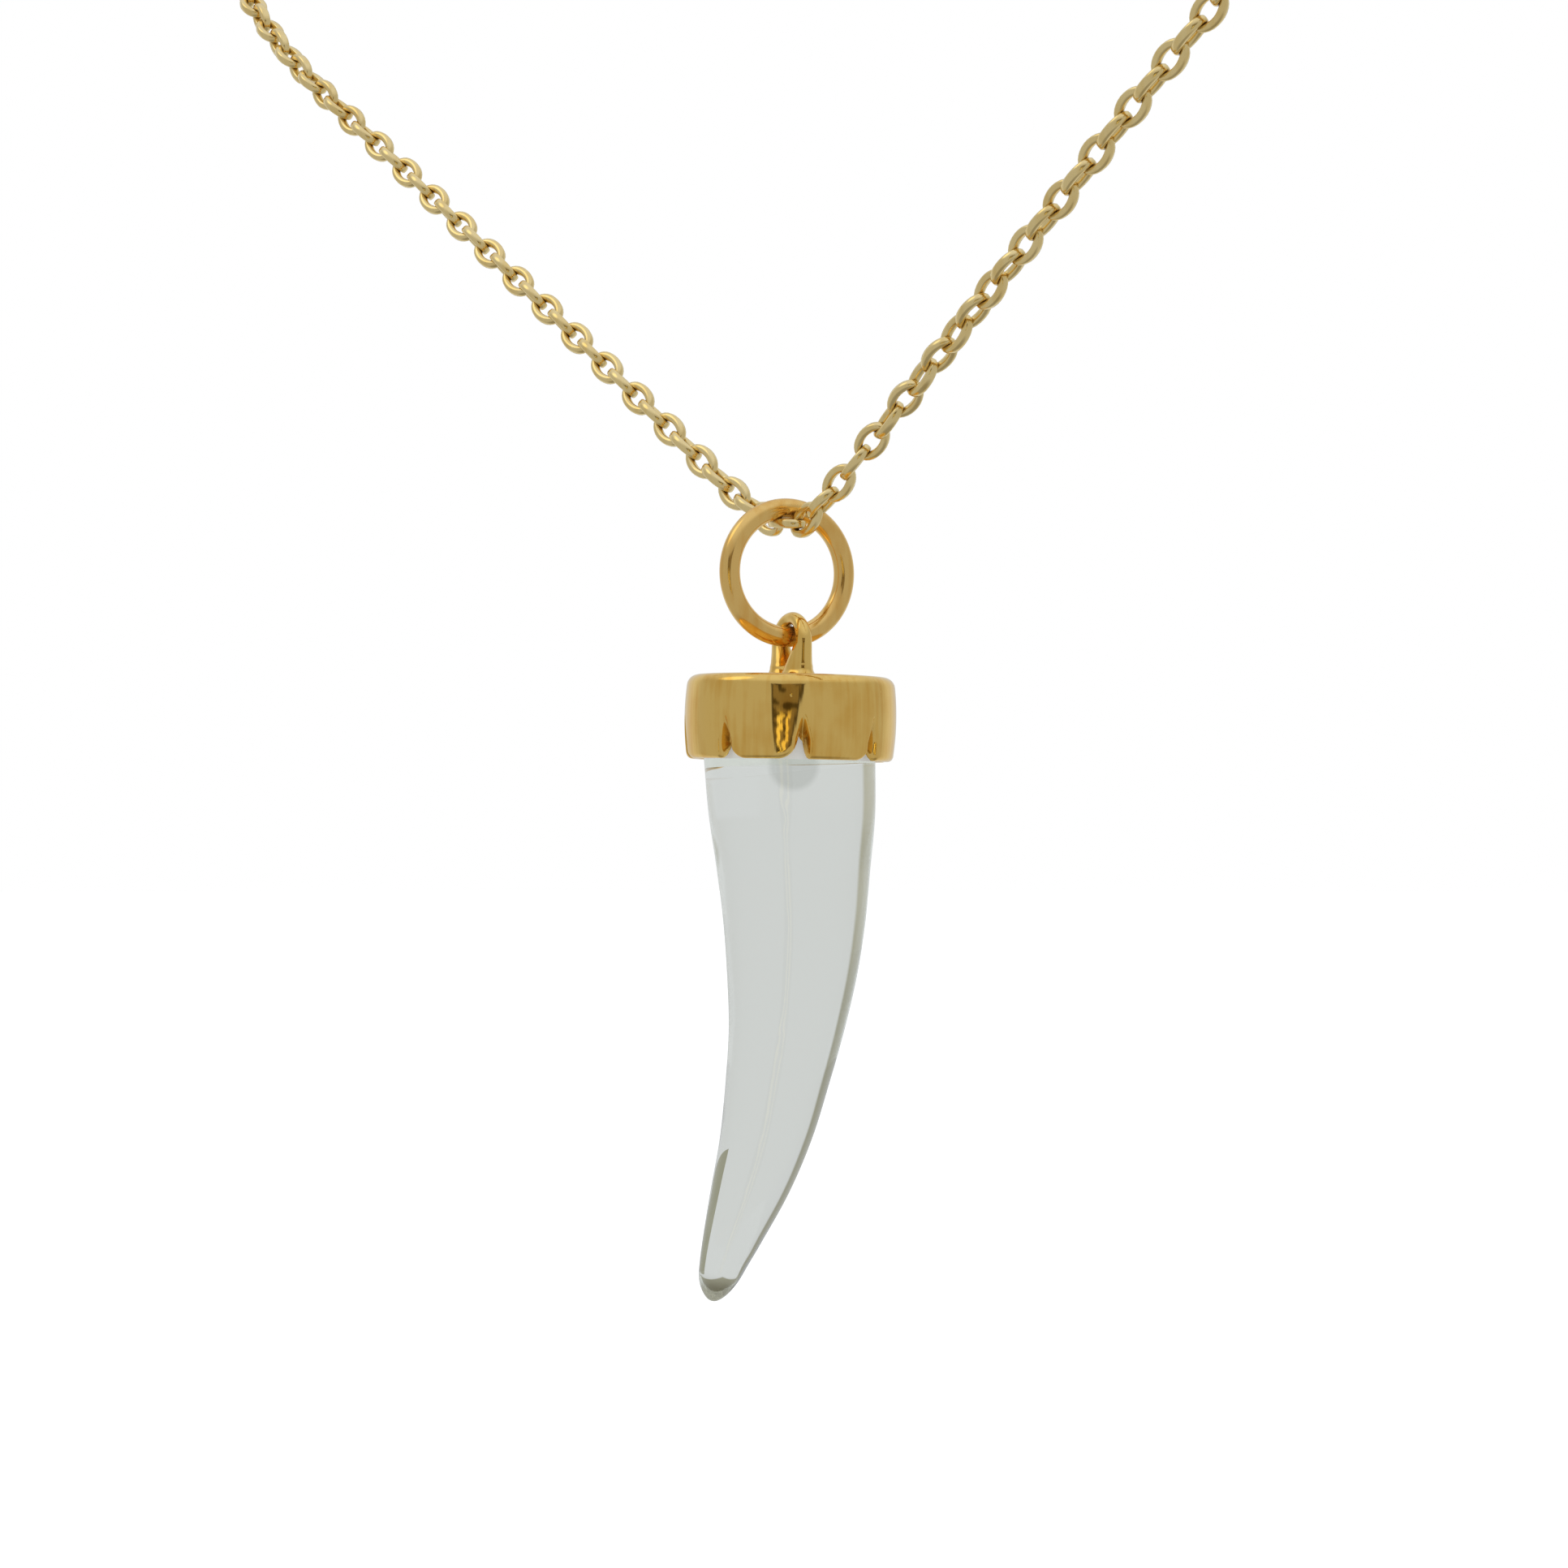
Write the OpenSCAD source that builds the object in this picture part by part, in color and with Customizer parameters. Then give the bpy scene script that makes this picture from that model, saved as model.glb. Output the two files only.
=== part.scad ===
// Horn pendant on a cable chain, worn form, in millimetres.
// +Z is up, the wearer's front is -Y, the origin is under the clasp at the nape.

/* [Horn] */
// Length of the horn that shows below the cap
horn_length = 23.5; // [18:0.2:30]
// Width of the horn where it enters the cap
horn_width = 7.5; // [6:0.1:9]
// Length of the horn's root that sits inside the cap
root_length = 2.8; // [2:0.1:3.6]
// How far the tip swings sideways from the horn's axis
horn_bend = 3.1; // [0:0.1:4.5]
// Length of the rounded nose at the tip
nose_length = 0.8; // [0.5:0.1:1.5]

/* [Cap] */
// Thickness of the cap's wall around the horn
cap_wall = 0.8; // [0.7:0.05:1.1]
// Thickness of the cap's top plate
cap_plate = 0.8; // [0.6:0.05:1.1]
// Radius that rounds the cap's top edge
cap_round = 0.5; // [0.3:0.05:0.7]
// How much the cap narrows towards its lower rim
cap_taper = 0.14; // [0:0.02:0.2]
// Number of petals around the rim
petals = 8; // [6:1:10]
// Height of the notch between two petals
notch_height = 0.75; // [0.5:0.05:1]
// Radius of a petal's rounded corner
petal_corner = 0.5; // [0.3:0.05:0.6]
// Height of the groove that runs up from each notch
groove_height = 2.2; // [1.4:0.1:2.6]
// Turn of the petals about the cap's axis
petal_turn = 25; // [0:1:45]

/* [Eye] */
// Thickness of the eye's wire
eye_wire = 0.7; // [0.5:0.05:0.8]
// Radius of the eye's bend, at the middle of its wire
eye_bend = 1.15; // [1.1:0.01:1.4]
// Height of the eye above the cap, to the middle of its wire
eye_height = 2.6; // [2.4:0.05:3.2]
// Width that the solder adds on each side of a leg's foot
solder_flare = 0.3; // [0.1:0.05:0.4]
// Height that the solder climbs up a leg
solder_height = 1.2; // [0.4:0.1:1.4]

/* [Jump ring] */
// Thickness of the jump ring's wire
ring_wire = 0.9; // [0.8:0.05:1]
// Outside diameter of the jump ring
ring_outer = 6.5; // [6:0.1:8]
// Turn of the ring's axis away from the chain's run
ring_turn = -16; // [-20:1:20]
// Slide of the eye along the ring from its lowest point
eye_slide = 0.25; // [0:0.05:0.3]
// Sideways lean of the cap and horn
drop_lean = 1.2; // [0:0.1:2]

/* [Chain] */
// Thickness of the links' wire
link_wire = 0.36; // [0.34:0.01:0.46]
// Distance from one link's middle to the next
link_pitch = 1.33; // [1.25:0.01:1.5]
// Links modelled on each side of the jump ring
front_links = 45; // [30:1:60]

/* [Clasp] */
// Diameter of the barrel clasp
clasp_width = 2.6; // [2.4:0.1:3.4]
// Length of the barrel clasp
clasp_length = 7; // [5:0.2:9]
// Depth of the cup at each end, where the chain enters
cup_depth = 1.2; // [0.8:0.1:1.6]

/* [Clearances] */
// Gap between the horn's root and the cap
root_gap = 0.08; // [0.06:0.01:0.15]
// Gap between the eye and the jump ring
eye_gap = 0.08; // [0.06:0.01:0.15]
// Gap beside and beyond a wire inside a link
link_play = 0.12; // [0.11:0.01:0.15]
// Gap between the jump ring and the link that carries it
seat_gap = 0.37; // [0.3:0.01:0.5]
// Gap between the chain's end and the clasp's cup
cup_gap = 0.2; // [0.15:0.05:0.4]

/* [Hidden] */

// A link is two half circles and two straight sides, measured along the middle of its wire
link_bend = link_wire + link_play;
link_span = link_pitch + link_wire + link_play;
link_straight = link_span - 2 * link_bend;
link_width = 2 * link_bend + link_wire;

// The chain's run as a closed loop from the nape, measured from the lowest link,
// which lies level between the two corners where the arms start.
// Columns: x, y, z, and the roll of the links in degrees.
chain_route = [
    [0, 100, 112, 0],
    [-24, 95, 109.5, 0],
    [-48, 78, 100, 0],
    [-63, 51, 81, 0],
    [-64, 24, 58, 0],
    [-54, 7, 40, 0],
    [-39, 0.7, 27, -15],
    [-26, 0.3, 17.7, 30],
    [-13, 0, 8.7, 30],
    [-link_span / 2, 0, 0, 0],
    [link_span / 2, 0, 0, 0],
    [6.2, -0.1, 4.26, -52],
    [12.5, -0.3, 9.3, -94],
    [25, -1.2, 18.8, -114],
    [39, -1.6, 29.5, -110],
    [54, 5, 41, -80],
    [64, 23, 58, -40],
    [63, 50, 80.5, -10],
    [48, 78, 100, 0],
    [24, 95, 109.5, 0],
];
left_corner = 9;
right_corner = 10;
nape = chain_route[0];

// The horn's outline below the cap.
// Columns: share of the length, sideways shift as a share of the bend, share of the width.
horn_sections = [
    [0.00, 0.00, 1.000],
    [0.10, 0.05, 0.972],
    [0.20, 0.09, 0.898],
    [0.30, 0.12, 0.830],
    [0.40, 0.10, 0.758],
    [0.50, 0.03, 0.675],
    [0.60, -0.10, 0.604],
    [0.70, -0.26, 0.537],
    [0.80, -0.50, 0.458],
    [0.90, -0.78, 0.342],
    [0.95, -0.91, 0.268],
    [1.00, -1.00, 0.200],
];
share_column = 0;
shift_column = 1;
width_column = 2;
horn_sides = 48;
horn_steps = 30;
nose_angles = [15, 30, 45, 60, 72, 84];
root_chamfer = 0.3;

// Height of each piece's reference point, measured from the lowest link
ring_bend = (ring_outer - ring_wire) / 2;
ring_top = link_wire / 2 + seat_gap + ring_wire / 2;
ring_middle = ring_top - ring_bend;
ring_bottom = ring_middle - ring_bend;
eye_top = ring_bottom + ring_wire / 2 + eye_gap + eye_wire / 2;
cap_top = eye_top - eye_height;

cap_bore = horn_width / 2 + root_gap;
cap_radius = cap_bore + cap_wall;
cap_height = cap_plate + root_gap + root_length;
cap_mouth = cap_top - cap_height;
rim_round = cap_wall / 3;
notch_gap = 0.12;
groove_angle = 50;
groove_reach = 2 * cap_wall;
arc_steps = 6;
overcut = 1;

tube_sides = 8;
tube_ring_step = 4.2;
curve_steps = 24;

clasp_round = 0.4;
clasp_groove = 0.2;
cup_radius = link_width / 2 + cup_gap;

x_column = 0;
y_column = 1;
z_column = 2;
roll_column = 3;
fine = 48;

function unit(v) = v / norm(v);
function place(row) = [row[x_column], row[y_column], row[z_column]];
function route_row(i) = chain_route[(i + len(chain_route)) % len(chain_route)];
function chord(i) = norm(place(route_row(i + 1)) - place(route_row(i)));
function chord_slope(i) = (route_row(i + 1) - route_row(i)) / chord(i);
function row_slope(i) =
    (chord(i) * chord_slope(i - 1) + chord(i - 1) * chord_slope(i)) / (chord(i) + chord(i - 1));

// A cubic from p to q over a step h, with the slopes m and n at its ends and t from 0 to 1
function cubic(p, q, m, n, h, t) =
    (2 * pow(t, 3) - 3 * pow(t, 2) + 1) * p
    + (pow(t, 3) - 2 * pow(t, 2) + t) * h * m
    + (3 * pow(t, 2) - 2 * pow(t, 3)) * q
    + (pow(t, 3) - pow(t, 2)) * h * n;

function is_corner(i) = i == left_corner || i == right_corner;
function end_slope(row, i) = is_corner(row) ? chord_slope(i) : row_slope(row);
function curve_row(i, t) =
    cubic(route_row(i), route_row(i + 1), end_slope(i, i), end_slope(i + 1, i), chord(i), t);

curve_rows = [
    for (i = [0 : len(chain_route) - 1])
        for (j = [0 : curve_steps - 1]) curve_row(i, j / curve_steps),
    nape
];
function step_length(k) = norm(place(curve_rows[min(k + 1, len(curve_rows) - 1)]) - place(curve_rows[k]));
run_lengths = [for (k = 0, s = 0; k < len(curve_rows); s = s + step_length(k), k = k + 1) s];
run_columns = [
    for (c = [x_column : roll_column]) [for (k = [0 : len(curve_rows) - 1]) [run_lengths[k], curve_rows[k][c]]]
];
function run_at(s) = [for (c = [x_column : roll_column]) lookup(s, run_columns[c])];

loop_length = run_lengths[len(run_lengths) - 1];
lowest_run = (run_lengths[left_corner * curve_steps] + run_lengths[right_corner * curve_steps]) / 2;
clasp_stop = clasp_length / 2 - cup_depth + cup_gap;

// Length of the arm on one side, from the lowest link to the chain's end in the clasp
function arm_length(side) = (side < 0 ? lowest_run : loop_length - lowest_run) - clasp_stop;
function arm_pitch(side) = arm_length(side) / round(arm_length(side) / link_pitch);
function link_run(side, k) = lowest_run + side * k * arm_pitch(side);

// Direction, width direction and normal of the link at distance s along the loop
function run_direction(s) = unit(place(run_at(s + link_straight / 2)) - place(run_at(s - link_straight / 2)));
function run_side(d) = unit([0, 1, 0] - d[y_column] * d);
function link_width_axis(d, roll) = cos(roll) * cross(d, run_side(d)) + sin(roll) * run_side(d);

module link() {
    for (side = [-1, 1]) {
        translate([side * link_straight / 2, 0, 0])
            rotate([0, 0, -90 * side])
                rotate_extrude(angle = 180, $fn = fine)
                    translate([link_bend, 0])
                        circle(d = link_wire, $fn = fine);
        translate([-link_straight / 2, side * link_bend, 0])
            rotate([0, 90, 0])
                cylinder(d = link_wire, h = link_straight, $fn = fine);
    }
}

module link_on_run(s, turn) {
    row = run_at(s);
    along = run_direction(s);
    across = link_width_axis(along, row[roll_column] + turn);
    normal = cross(along, across);
    multmatrix([
        [along[0], across[0], normal[0], row[x_column]],
        [along[1], across[1], normal[1], row[y_column]],
        [along[2], across[2], normal[2], row[z_column]],
        [0, 0, 0, 1]
    ]) link();
}

// A closed tube along the run, from distance s_from to s_to
module tube_on_run(s_from, s_to) {
    rings = ceil(abs(s_to - s_from) / tube_ring_step);
    points = [
        for (k = [0 : rings])
            let (
                s = s_from + (s_to - s_from) * k / rings,
                d = run_direction(s),
                u = run_side(d),
                v = cross(u, d)
            )
                for (a = [0 : tube_sides - 1])
                    place(run_at(s)) + link_width / 2 * (cos(360 * a / tube_sides) * u + sin(360 * a / tube_sides) * v)
    ];
    polyhedron(points, ring_faces(rings, tube_sides));
}

// Faces of a stack of rings that is closed by a flat face at each end
function ring_faces(rings, sides) = [
    [for (a = [0 : sides - 1]) a],
    for (k = [0 : rings - 1])
        for (a = [0 : sides - 1])
            let (next = (a + 1) % sides)
                [k * sides + a, (k + 1) * sides + a, (k + 1) * sides + next, k * sides + next],
    [for (a = [sides - 1 : -1 : 0]) rings * sides + a]
];

// Moves a piece from the lowest link's own frame into the part's frame
module from_lowest_link() {
    translate([-nape[x_column], -nape[y_column], clasp_width / 2 - nape[z_column]]) children();
}

// The frame of the drop: X along the jump ring's axis, Y along its wire at the bottom
module on_ring() {
    from_lowest_link() rotate([0, 0, ring_turn]) children();
}

// The cap and horn lean about the top of the eye
module on_eye() {
    on_ring()
        translate([0, eye_slide, eye_top])
            rotate([-drop_lean, 0, 0])
                translate([0, 0, -eye_top])
                    children();
}

// The horn's rings from its root to its tip, each with its height, shift and radius
function section_slope(i) =
    let (a = max(i - 1, 0), b = min(i + 1, len(horn_sections) - 1))
        (horn_sections[b] - horn_sections[a]) / (horn_sections[b][share_column] - horn_sections[a][share_column]);
function section_index(share) =
    max([for (i = [0 : len(horn_sections) - 2]) horn_sections[i][share_column] <= share ? i : 0]);
function section_at(share) =
    let (
        i = section_index(share),
        h = horn_sections[i + 1][share_column] - horn_sections[i][share_column],
        t = (share - horn_sections[i][share_column]) / h
    )
        cubic(horn_sections[i], horn_sections[i + 1], section_slope(i), section_slope(i + 1), h, t);
function horn_ring(share, shrink) =
    let (row = section_at(share))
        [-share * horn_length, row[shift_column] * horn_bend, row[width_column] * shrink * horn_width / 2];

nose_share = nose_length / horn_length;
horn_rings = concat(
    [[root_length, 0, horn_width / 2 - root_chamfer], [root_length - root_chamfer, 0, horn_width / 2]],
    [for (k = [0 : horn_steps]) horn_ring((1 - nose_share) * k / horn_steps, 1)],
    [for (a = nose_angles) horn_ring(1 - nose_share * (1 - sin(a)), cos(a))]
);

module horn() {
    points = [
        for (ring = horn_rings)
            for (a = [0 : horn_sides - 1])
                [
                    ring[2] * cos(360 * a / horn_sides),
                    ring[1] + ring[2] * sin(360 * a / horn_sides),
                    cap_mouth + ring[0]
                ]
    ];
    color([0.8, 0.81, 0.8])
        on_eye() polyhedron(points, ring_faces(len(horn_rings) - 1, horn_sides));
}

// Points of an arc about a centre, from one angle to another
function arc(centre, radius, from, to) =
    [for (k = [0 : arc_steps]) centre + radius * [cos(from + (to - from) * k / arc_steps),
                                                  sin(from + (to - from) * k / arc_steps)]];
function cap_side(depth) = cap_radius - cap_taper * pow(2 * depth / cap_height - 1, 2);
cap_profile = concat(
    [[0, 0]],
    arc([cap_side(0) - cap_round, -cap_round], cap_round, 90, 0),
    [for (k = [1 : arc_steps]) let (d = cap_round + (cap_height - cap_round - rim_round) * k / arc_steps)
        [cap_side(d), -d]],
    arc([cap_side(cap_height) - rim_round, rim_round - cap_height], rim_round, 0, -90),
    [[cap_bore, -cap_height], [cap_bore, -cap_plate], [0, -cap_plate]]
);
notch_side = concat(
    [[0, notch_height]],
    [for (k = [0 : arc_steps]) let (a = 90 * k / arc_steps)
        [notch_gap + petal_corner * (1 - cos(a)), petal_corner * (1 - sin(a))]],
    [[notch_gap + petal_corner, -overcut]]
);

module petal_notch() {
    translate([cap_bore - overcut / 2, 0, cap_mouth])
        rotate([90, 0, 90])
            linear_extrude(cap_wall + overcut)
                polygon(concat(
                    notch_side,
                    [for (k = [len(notch_side) - 1 : -1 : 1]) [-notch_side[k][0], notch_side[k][1]]]
                ));
    translate([cap_side(cap_height - groove_height), 0, cap_mouth + groove_height])
        rotate([0, atan(cap_wall / (groove_height - notch_height)), 0])
            translate([0, 0, -2 * groove_height])
                linear_extrude(2 * groove_height)
                    polygon([
                        [0, 0],
                        [groove_reach, -groove_reach * tan(groove_angle / 2)],
                        [groove_reach, groove_reach * tan(groove_angle / 2)]
                    ]);
}

// The arch and its two legs, built about the middle of the bend
module eye() {
    leg = eye_height - eye_bend;
    solder = min(solder_height, leg);
    translate([0, 0, eye_top - eye_bend]) {
        rotate([90, 0, 0])
            rotate_extrude(angle = 180, $fn = fine)
                translate([eye_bend, 0])
                    circle(d = eye_wire, $fn = fine);
        for (side = [-1, 1])
            translate([side * eye_bend, 0, 0]) {
                mirror([0, 0, 1]) cylinder(d = eye_wire, h = leg + cap_plate / 2, $fn = fine);
                translate([0, 0, -leg])
                    cylinder(d1 = eye_wire + 2 * solder_flare, d2 = eye_wire, h = solder, $fn = fine);
            }
    }
}

module cap() {
    color([0.72, 0.58, 0.28])
        on_eye() {
            difference() {
                translate([0, 0, cap_top])
                    rotate_extrude($fn = 2 * fine)
                        polygon(cap_profile);
                for (k = [0 : petals - 1])
                    rotate([0, 0, petal_turn + 360 * k / petals]) petal_notch();
            }
            eye();
        }
}

module jump_ring() {
    color([0.72, 0.58, 0.28])
        on_ring()
            translate([0, 0, ring_middle])
                rotate([0, 90, 0])
                    rotate_extrude($fn = 2 * fine)
                        translate([ring_bend, 0])
                            circle(d = ring_wire, $fn = fine);
}

// Every second link is turned by a quarter about the run
module chain_front() {
    color([0.8, 0.69, 0.42])
        from_lowest_link() {
            link_on_run(lowest_run, 90);
            for (side = [-1, 1])
                for (k = [1 : front_links])
                    link_on_run(link_run(side, k), k % 2 == 0 ? 90 : 0);
        }
}

module chain_back() {
    past_link = (link_span + link_wire) / 2 + link_play;
    color([0.8, 0.69, 0.42])
        from_lowest_link() {
            tube_on_run(lowest_run - arm_length(-1), link_run(-1, front_links) - past_link);
            tube_on_run(link_run(1, front_links) + past_link, lowest_run + arm_length(1));
        }
}

module barrel_clasp() {
    half = clasp_length / 2;
    radius = clasp_width / 2;
    color([0.8, 0.69, 0.42])
        translate([0, 0, radius])
            rotate([0, 90, 0])
                rotate_extrude($fn = 2 * fine)
                    polygon([
                        [0, half - cup_depth],
                        [cup_radius, half - cup_depth],
                        [cup_radius, half],
                        [radius - clasp_round, half],
                        [radius, half - clasp_round],
                        [radius, clasp_groove],
                        [radius - clasp_groove, 0],
                        [radius, -clasp_groove],
                        [radius, clasp_round - half],
                        [radius - clasp_round, -half],
                        [cup_radius, -half],
                        [cup_radius, cup_depth - half],
                        [0, cup_depth - half]
                    ]);
}

horn();
cap();
jump_ring();
chain_front();
chain_back();
barrel_clasp();
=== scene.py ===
# Dresses the horn pendant and its chain: crystal, gold, links, stage, light and camera.
import math

import bmesh
import bpy
from mathutils import Matrix, Vector


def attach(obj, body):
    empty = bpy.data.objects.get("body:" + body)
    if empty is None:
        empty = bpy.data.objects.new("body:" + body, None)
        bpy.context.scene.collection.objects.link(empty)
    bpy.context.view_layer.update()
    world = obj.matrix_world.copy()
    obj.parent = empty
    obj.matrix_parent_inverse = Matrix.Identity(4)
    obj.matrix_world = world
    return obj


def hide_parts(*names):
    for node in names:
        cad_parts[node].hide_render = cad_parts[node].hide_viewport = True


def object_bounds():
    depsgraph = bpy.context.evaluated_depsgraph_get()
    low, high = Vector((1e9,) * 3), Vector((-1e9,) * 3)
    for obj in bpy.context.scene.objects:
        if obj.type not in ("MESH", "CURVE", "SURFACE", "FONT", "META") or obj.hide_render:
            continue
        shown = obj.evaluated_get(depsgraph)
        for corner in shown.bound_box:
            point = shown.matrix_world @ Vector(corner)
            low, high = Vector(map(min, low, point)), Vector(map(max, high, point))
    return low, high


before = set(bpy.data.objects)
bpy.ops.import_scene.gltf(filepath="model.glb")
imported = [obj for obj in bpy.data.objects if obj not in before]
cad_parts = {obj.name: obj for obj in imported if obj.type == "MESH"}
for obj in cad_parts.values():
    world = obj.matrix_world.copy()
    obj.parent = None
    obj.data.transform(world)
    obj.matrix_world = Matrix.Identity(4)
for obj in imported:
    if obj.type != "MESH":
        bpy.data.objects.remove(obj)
cadLow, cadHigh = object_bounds()
mm = 0.001

# The drop hangs from the lowest link, whose middle is here in the part's frame. Sizes are in mm.
dropPoint = Vector((0, -100, -110.7))
dropSet = {
    "turn": -16.0,          # degrees from the chain's run to the jump ring's axis
    "lean": 1.2,            # degrees that the cap and horn lean sideways
    "slide": 0.25,          # how far the eye has slid along the ring
    "ringTop": 1.0,         # height of the ring's wire above the lowest link
    "ringBend": 2.8, "ringWire": 0.9, "eyeGap": 0.08, "eyeWire": 0.7, "eyeHeight": 2.6,
}
ringBottom = dropSet["ringTop"] - 2 * dropSet["ringBend"]
eyeTop = ringBottom + (dropSet["ringWire"] + dropSet["eyeWire"]) / 2 + dropSet["eyeGap"]
capTop = eyeTop - dropSet["eyeHeight"]


def hexToLinear(code):
    # An sRGB hex colour as linear RGBA.
    parts = [int(code[i:i + 2], 16) / 255 for i in (0, 2, 4)]
    return [c / 12.92 if c <= 0.04045 else ((c + 0.055) / 1.055) ** 2.4 for c in parts] + [1.0]


def addNode(tree, kind, settings=None, links=None):
    # Adds one node. Settings name properties or input values, links name inputs and their sources.
    node = tree.nodes.new(kind)
    for name, value in (settings or {}).items():
        if isinstance(name, str) and hasattr(node, name):
            setattr(node, name, value)
        else:
            node.inputs[name].default_value = value
    for name, source in (links or {}).items():
        tree.links.new(source, node.inputs[name])
    return node


def newMaterial(name):
    material = bpy.data.materials.new(name)
    material.use_nodes = True
    material.node_tree.nodes.clear()
    return material, material.node_tree


def meshPiece(name, bm, material, smooth=True):
    mesh = bpy.data.meshes.new(name)
    bm.to_mesh(mesh)
    bm.free()
    if smooth:
        mesh.shade_smooth()
    piece = bpy.data.objects.new(name, mesh)
    bpy.context.collection.objects.link(piece)
    mesh.materials.append(material)
    return piece


def appliedModifiers(piece):
    # The modifiers' result as a plain mesh on the same object.
    graph = bpy.context.evaluated_depsgraph_get()
    made = bpy.data.meshes.new_from_object(piece.evaluated_get(graph), depsgraph=graph)
    piece.modifiers.clear()
    piece.data = made
    return piece


def smoothStep(t):
    t = min(max(t, 0.0), 1.0)
    return t * t * (3 - 2 * t)


def gridFaces(bm, rows):
    # Skins a list of equal closed rings of vertices.
    for low, high in zip(rows, rows[1:]):
        for i in range(len(low)):
            j = (i + 1) % len(low)
            bm.faces.new((low[i], low[j], high[j], high[i]))


print("stage: camera")
cameraSet = {
    "azimuth": 47.0,        # degrees round from the wearer's front
    "distance": 180.0,      # mm from the lowest link, along the view
    "right": 0.14,          # mm that the lowest link lies right of the picture's middle
    "up": 11.03,            # mm that it lies above the middle
    "pixelsPerMm": 28.2,    # scale of the picture at the lowest link
    "pictureSize": 1932,
    "sensor": 36.0,
    "nearest": 0.01, "farthest": 20.0,      # m, what the camera sees
}


def makeCamera(values):
    turn = math.radians(values["azimuth"])
    forward = Vector((-math.sin(turn), math.cos(turn), 0))
    right = Vector((math.cos(turn), math.sin(turn), 0))
    data = bpy.data.cameras.new("camera")
    data.sensor_width = values["sensor"]
    data.lens = values["sensor"] * values["pixelsPerMm"] * values["distance"] / values["pictureSize"]
    data.clip_start = values["nearest"]
    data.clip_end = values["farthest"]
    camera = bpy.data.objects.new("camera", data)
    place = dropPoint - forward * values["distance"] - right * values["right"]
    camera.location = (place - Vector((0, 0, values["up"]))) * mm
    camera.rotation_euler = (math.radians(90), 0, turn)
    bpy.context.collection.objects.link(camera)
    bpy.context.scene.camera = camera
    return forward, right


viewForward, viewRight = makeCamera(cameraSet)


print("stage: materials")
goldSet = {
    "mottleWidth": 2.2,     # mm between the cloudy patches of the plating
    "streakWidth": 0.35,    # mm between the fine upright lines left by polishing
    "streakSquash": 0.05,   # their pattern's scale upwards, as a share of its scale across
    "streakShare": 0.5,     # share of the lines in the tone, the rest being cloudy patches
    "streakDepth": 0.006, "pitDepth": 0.03,     # mm
    "deepAt": 0.35, "tintAt": 0.55,             # noise values at which the tone is deepest and palest
    "pitWidth": 0.9,        # mm between the small casting pits
    "pitShare": 0.09,       # size of a pit as a share of that distance
    "hollowShade": "94691f",     # painted shade: the brown that the colour takes in the hollows, where shade falls
    "hollowFrom": 0.1, "hollowTo": 0.6,     # openness at which the brown is full, and at which it ends
    "hollowMetal": 0.35,                    # how metallic the brown is
    "shineSpread": (0.8, 1.25),             # roughness of the least and most worn lines, as shares
    "shineFrom": 0.25, "shineTo": 0.75,     # noise values between them
}


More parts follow.
